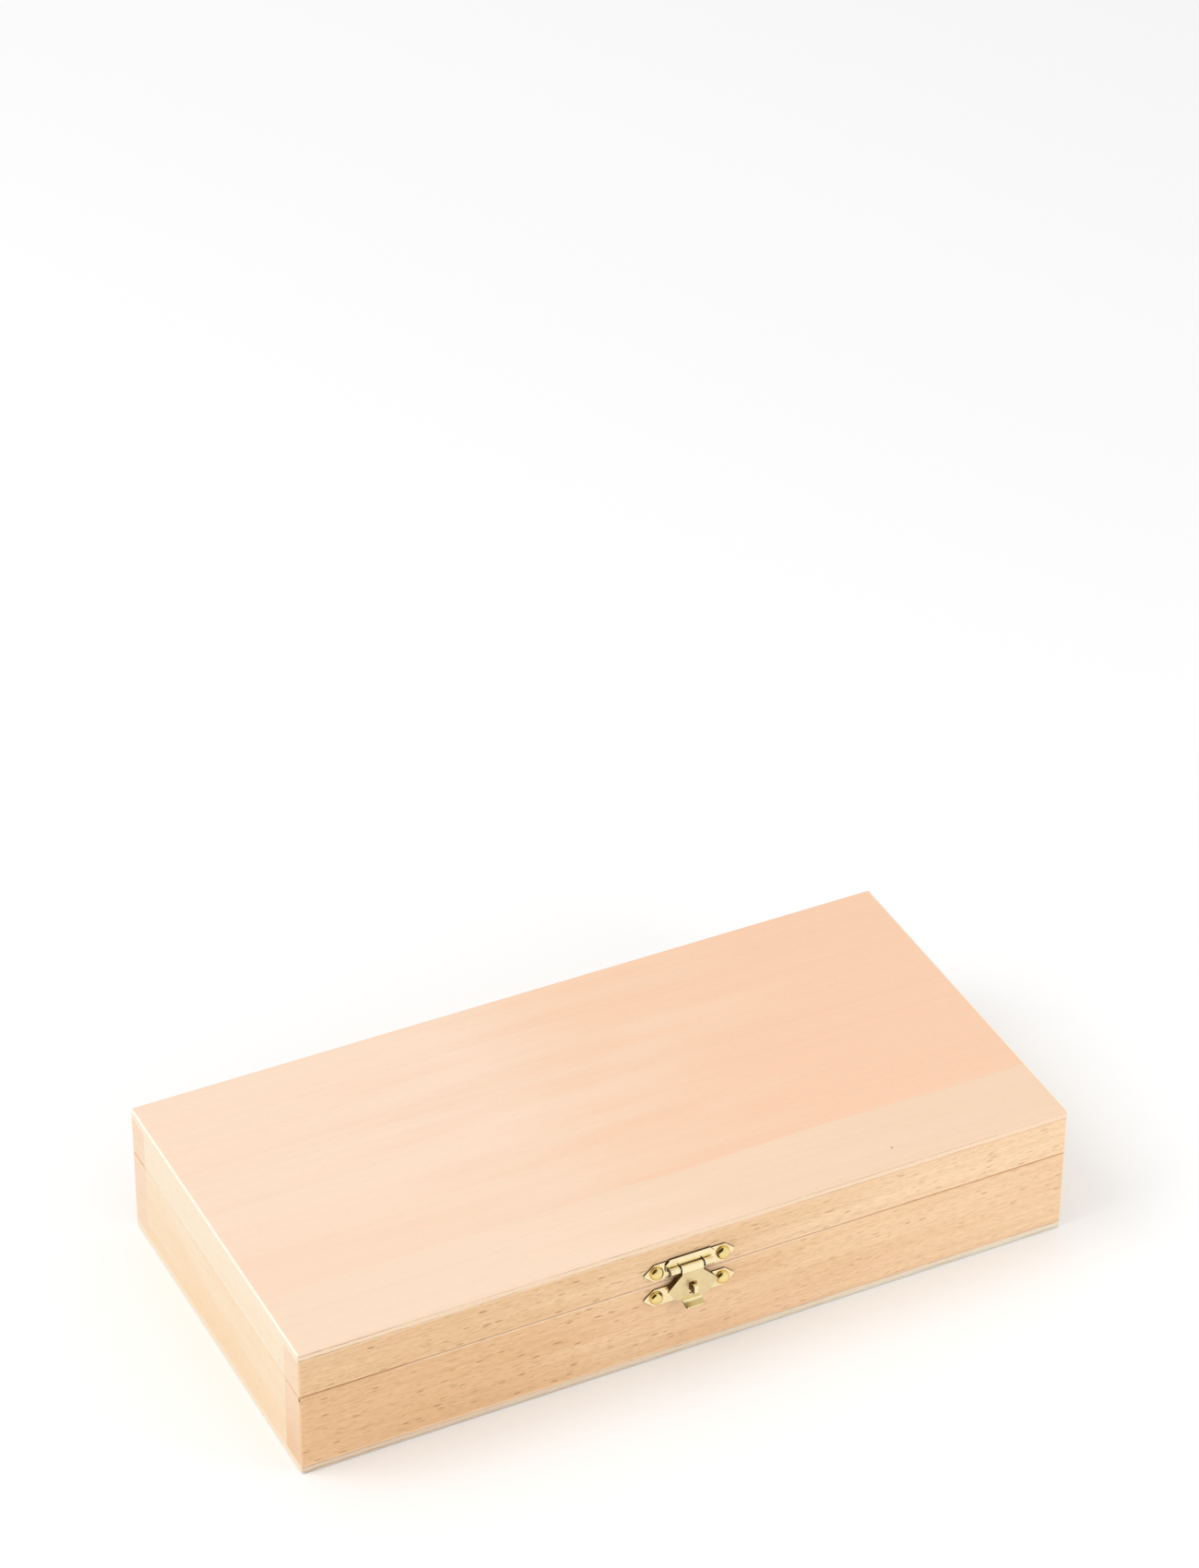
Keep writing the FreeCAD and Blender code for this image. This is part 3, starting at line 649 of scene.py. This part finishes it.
def dress_wood():
    for part, colours in (("base", (BASE_LIGHT, BASE_DARK)), ("lid", (LID_LIGHT, LID_DARK))):
        dress_boards(part, ("front", "back"), "XZY", colours, ("X", LENGTHWISE), FRONT_FIGURE)
        dress_boards(part, ("left", "right"), "YZX", (SIDE_LIGHT, SIDE_DARK), ("Z", UPWARD), SIDE_FIGURE)
    leaves = ((TOP_PALE, TOP_PINK), (STRIP_PALE, STRIP_PINK))
    core = (TOP_CORE, TOP_CORE)
    top = plywood("plywood_top", TOP, TOP - PANEL, leaves, core, SEEDS["lid_top_panel"])
    dress("lid_top_panel", top)
    leaf = (BOTTOM_PALE, BOTTOM_GREY)
    bottom = plywood("plywood_bottom", 0.0, PANEL, (leaf, leaf), leaf, SEEDS["base_bottom_panel"])
    dress("base_bottom_panel", bottom)


def dress_metal():
    hasp_rolls = [("Z", (HASP_BARREL_TOP, HASP_BARREL_TOP + ROLL_BLEND))]
    catch_rolls = [("Y", (CATCH_NOSE_OUT - ROLL_BLEND, CATCH_NOSE_OUT))]
    flap_rolls = [
        ("Z", (FLAP_BARREL_FOOT, FLAP_BARREL_FOOT - ROLL_BLEND)),
        ("Z", (FLAP_LIP_TOP - ROLL_BLEND, FLAP_LIP_TOP)),
    ]
    hinge_rolls = [("Y", (HINGE_BARREL_OUT, HINGE_BARREL_OUT - ROLL_BLEND))]
    for name, rolls in (("hasp_plate", hasp_rolls), ("catch_plate", catch_rolls)):
        dress(name, brass("brass_" + name, BRASS_POLISHED, PLATE_ROUGHNESS, SEEDS[name], rolls))
    flap = brass("brass_flap", BRASS_SATIN, FLAP_ROUGHNESS, SEEDS["hasp_flap"], flap_rolls, is_flap=True)
    dress("hasp_flap", flap)
    for side in ("left", "right"):
        for part in ("base", "lid"):
            name = f"hinge_{side}_{part}_leaf"
            dress(name, brass("brass_" + name, BRASS_POLISHED, HINGE_ROUGHNESS, SEEDS[name], hinge_rolls))
    for name in ("hinge_left_pin", "hinge_right_pin", "hasp_pin"):
        dress(name, steel("steel_" + name, SEEDS[name]))


def nail_section(head, sheet):
    """Half section of a turned nail as (radius, distance out of the wall), from its point to its crown."""
    radius, rise = head
    rim = HEAD_RIM * rise
    section = [
        (0.0, -SHANK_DEPTH),
        (SHANK_RADIUS, POINT_LENGTH - SHANK_DEPTH),
        (SHANK_RADIUS, sheet),
        (radius * HEAD_UNDERSIDE, sheet),
        (radius, sheet + rim),
    ]
    for step in range(1, HEAD_RINGS + 1):
        angle = math.radians(90 * step / HEAD_RINGS)
        section.append((radius * math.cos(angle), sheet + rim + (rise - rim) * math.sin(angle)))
    return section


def close_ends(mesh):
    """Merges the points that meet at a nail's tip or crown, and turns every face outward."""
    form = bmesh.new()
    form.from_mesh(mesh)
    bmesh.ops.remove_doubles(form, verts=form.verts, dist=MERGE_DISTANCE)
    bmesh.ops.recalc_face_normals(form, faces=form.faces)
    form.to_mesh(mesh)
    form.free()


def add_nails(node, body, columns, row, wall, head, sheet, material):
    """Turned nails in one row, in place of the CAD node with the same fasteners."""
    section = nail_section(head, sheet)
    outward = math.copysign(1, wall)
    points = []
    faces = []
    for x in columns:
        start = len(points)
        for radius, out in section:
            for side in range(HEAD_SIDES):
                angle = 2 * math.pi * side / HEAD_SIDES
                place = (x + radius * math.cos(angle), wall + outward * out, row + radius * math.sin(angle))
                points.append(Vector(place) * MM)
        for ring in range(len(section) - 1):
            low = start + ring * HEAD_SIDES
            high = low + HEAD_SIDES
            for side in range(HEAD_SIDES):
                following = (side + 1) % HEAD_SIDES
                faces.append((low + side, low + following, high + following, high + side))
    mesh = bpy.data.meshes.new("turned_" + node)
    mesh.from_pydata(points, [], faces)
    close_ends(mesh)
    mesh.materials.append(material)
    mesh.shade_smooth()
    nails = bpy.data.objects.new("turned_" + node, mesh)
    bpy.context.scene.collection.objects.link(nails)
    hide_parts(node)
    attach(nails, body)


def add_all_nails():
    heads = brass("brass_nails", BRASS_NAIL, NAIL_ROUGHNESS, SEEDS["nails"])
    front = (-HALF_DEPTH, HASP_HEAD, HASP_SHEET, heads)
    back = (HALF_DEPTH, HINGE_HEAD, HINGE_SHEET, heads)
    add_nails("hasp_nails", "lid", HASP_COLUMNS, HASP_ROW, *front)
    add_nails("catch_nails", "base", HASP_COLUMNS, CATCH_ROW, *front)
    add_nails("hinge_lid_nails", "lid", HINGE_COLUMNS, HINGE_LID_ROW, *back)
    add_nails("hinge_base_nails", "base", HINGE_COLUMNS, HINGE_BASE_ROW, *back)


def turned(direction, axis):
    """Rotation that points one of an object's axes in a direction."""
    return direction.to_track_quat(axis, "Y").to_matrix().to_4x4()


def add_camera():
    data = bpy.data.cameras.new("camera")
    data.lens = LENS
    data.sensor_width = SENSOR
    data.clip_end = CLIP_END
    camera = bpy.data.objects.new("camera", data)
    bpy.context.scene.collection.objects.link(camera)
    azimuth = math.radians(CAMERA_AZIMUTH)
    depression = math.radians(CAMERA_DEPRESSION)
    level = math.cos(depression)
    back = Vector((-math.sin(azimuth) * level, -math.cos(azimuth) * level, math.sin(depression)))
    roll = Matrix.Rotation(math.radians(CAMERA_ROLL), 4, "Z")
    camera.matrix_world = Matrix.Translation(AIM + back * AIM_DISTANCE) @ turned(-back, "-Z") @ roll
    bpy.context.scene.camera = camera


def add_sheet(name, size, place, facing, colour):
    """Square sheet of matt paint."""
    half = size / 2
    corners = [(-half, -half, 0), (half, -half, 0), (half, half, 0), (-half, half, 0)]
    mesh = bpy.data.meshes.new(name)
    mesh.from_pydata(corners, [], [(0, 1, 2, 3)])
    sheet = bpy.data.objects.new(name, mesh)
    bpy.context.scene.collection.objects.link(sheet)
    sheet.matrix_world = Matrix.Translation(place) @ turned(facing, "Z")
    paint = Recipe(name + "_paint")
    paint.shader.inputs["Base Color"].default_value = colour
    paint.shader.inputs["Roughness"].default_value = PAINT_ROUGHNESS
    paint.shader.inputs["Specular IOR Level"].default_value = 0.0
    mesh.materials.append(paint.material)
    return sheet


def add_soft_box(name, place, size, power):
    """Square lamp aimed at the case. Metal doesn't mirror it."""
    light = bpy.data.lights.new(name, "AREA")
    light.shape = "SQUARE"
    light.size = size
    light.energy = power
    box = bpy.data.objects.new(name, light)
    bpy.context.scene.collection.objects.link(box)
    box.matrix_world = Matrix.Translation(place) @ turned(-place, "-Z")
    box.visible_glossy = False


def add_world():
    """Even white light, at full strength where the camera, a reflection or a transmission sees it."""
    world = bpy.data.worlds.new("studio")
    world.use_nodes = True
    nodes = world.node_tree.nodes
    links = world.node_tree.links
    nodes.clear()
    path = nodes.new("ShaderNodeLightPath")
    seen = nodes.new("ShaderNodeMath")
    seen.operation = "MAXIMUM"
    links.new(path.outputs["Is Camera Ray"], seen.inputs[0])
    links.new(path.outputs["Is Glossy Ray"], seen.inputs[1])
    shown = nodes.new("ShaderNodeMath")
    shown.operation = "MAXIMUM"
    links.new(seen.outputs[0], shown.inputs[0])
    links.new(path.outputs["Is Transmission Ray"], shown.inputs[1])
    strength = nodes.new("ShaderNodeMapRange")
    strength.inputs["To Min"].default_value = AMBIENT
    strength.inputs["To Max"].default_value = 1.0
    links.new(shown.outputs[0], strength.inputs["Value"])
    background = nodes.new("ShaderNodeBackground")
    background.inputs["Color"].default_value = WHITE
    links.new(strength.outputs[0], background.inputs["Strength"])
    output = nodes.new("ShaderNodeOutputWorld")
    links.new(background.outputs[0], output.inputs["Surface"])
    bpy.context.scene.world = world


def add_studio():
    add_sheet("floor", FLOOR_SIZE, FLOOR_PLACE, UP, FLOOR_COLOUR)
    card = add_sheet("dark_card", CARD_SIZE, CARD_PLACE, -CARD_PLACE, CARD_COLOUR)
    card.visible_camera = False
    card.visible_diffuse = False
    card.visible_shadow = False
    add_soft_box("key", KEY_PLACE, KEY_SIZE, KEY_POWER)
    add_soft_box("fill", FILL_PLACE, FILL_SIZE, FILL_POWER)
    add_world()
    bpy.context.scene.view_settings.view_transform = "Standard"


dress_wood()
dress_metal()
add_all_nails()
add_camera()
add_studio()
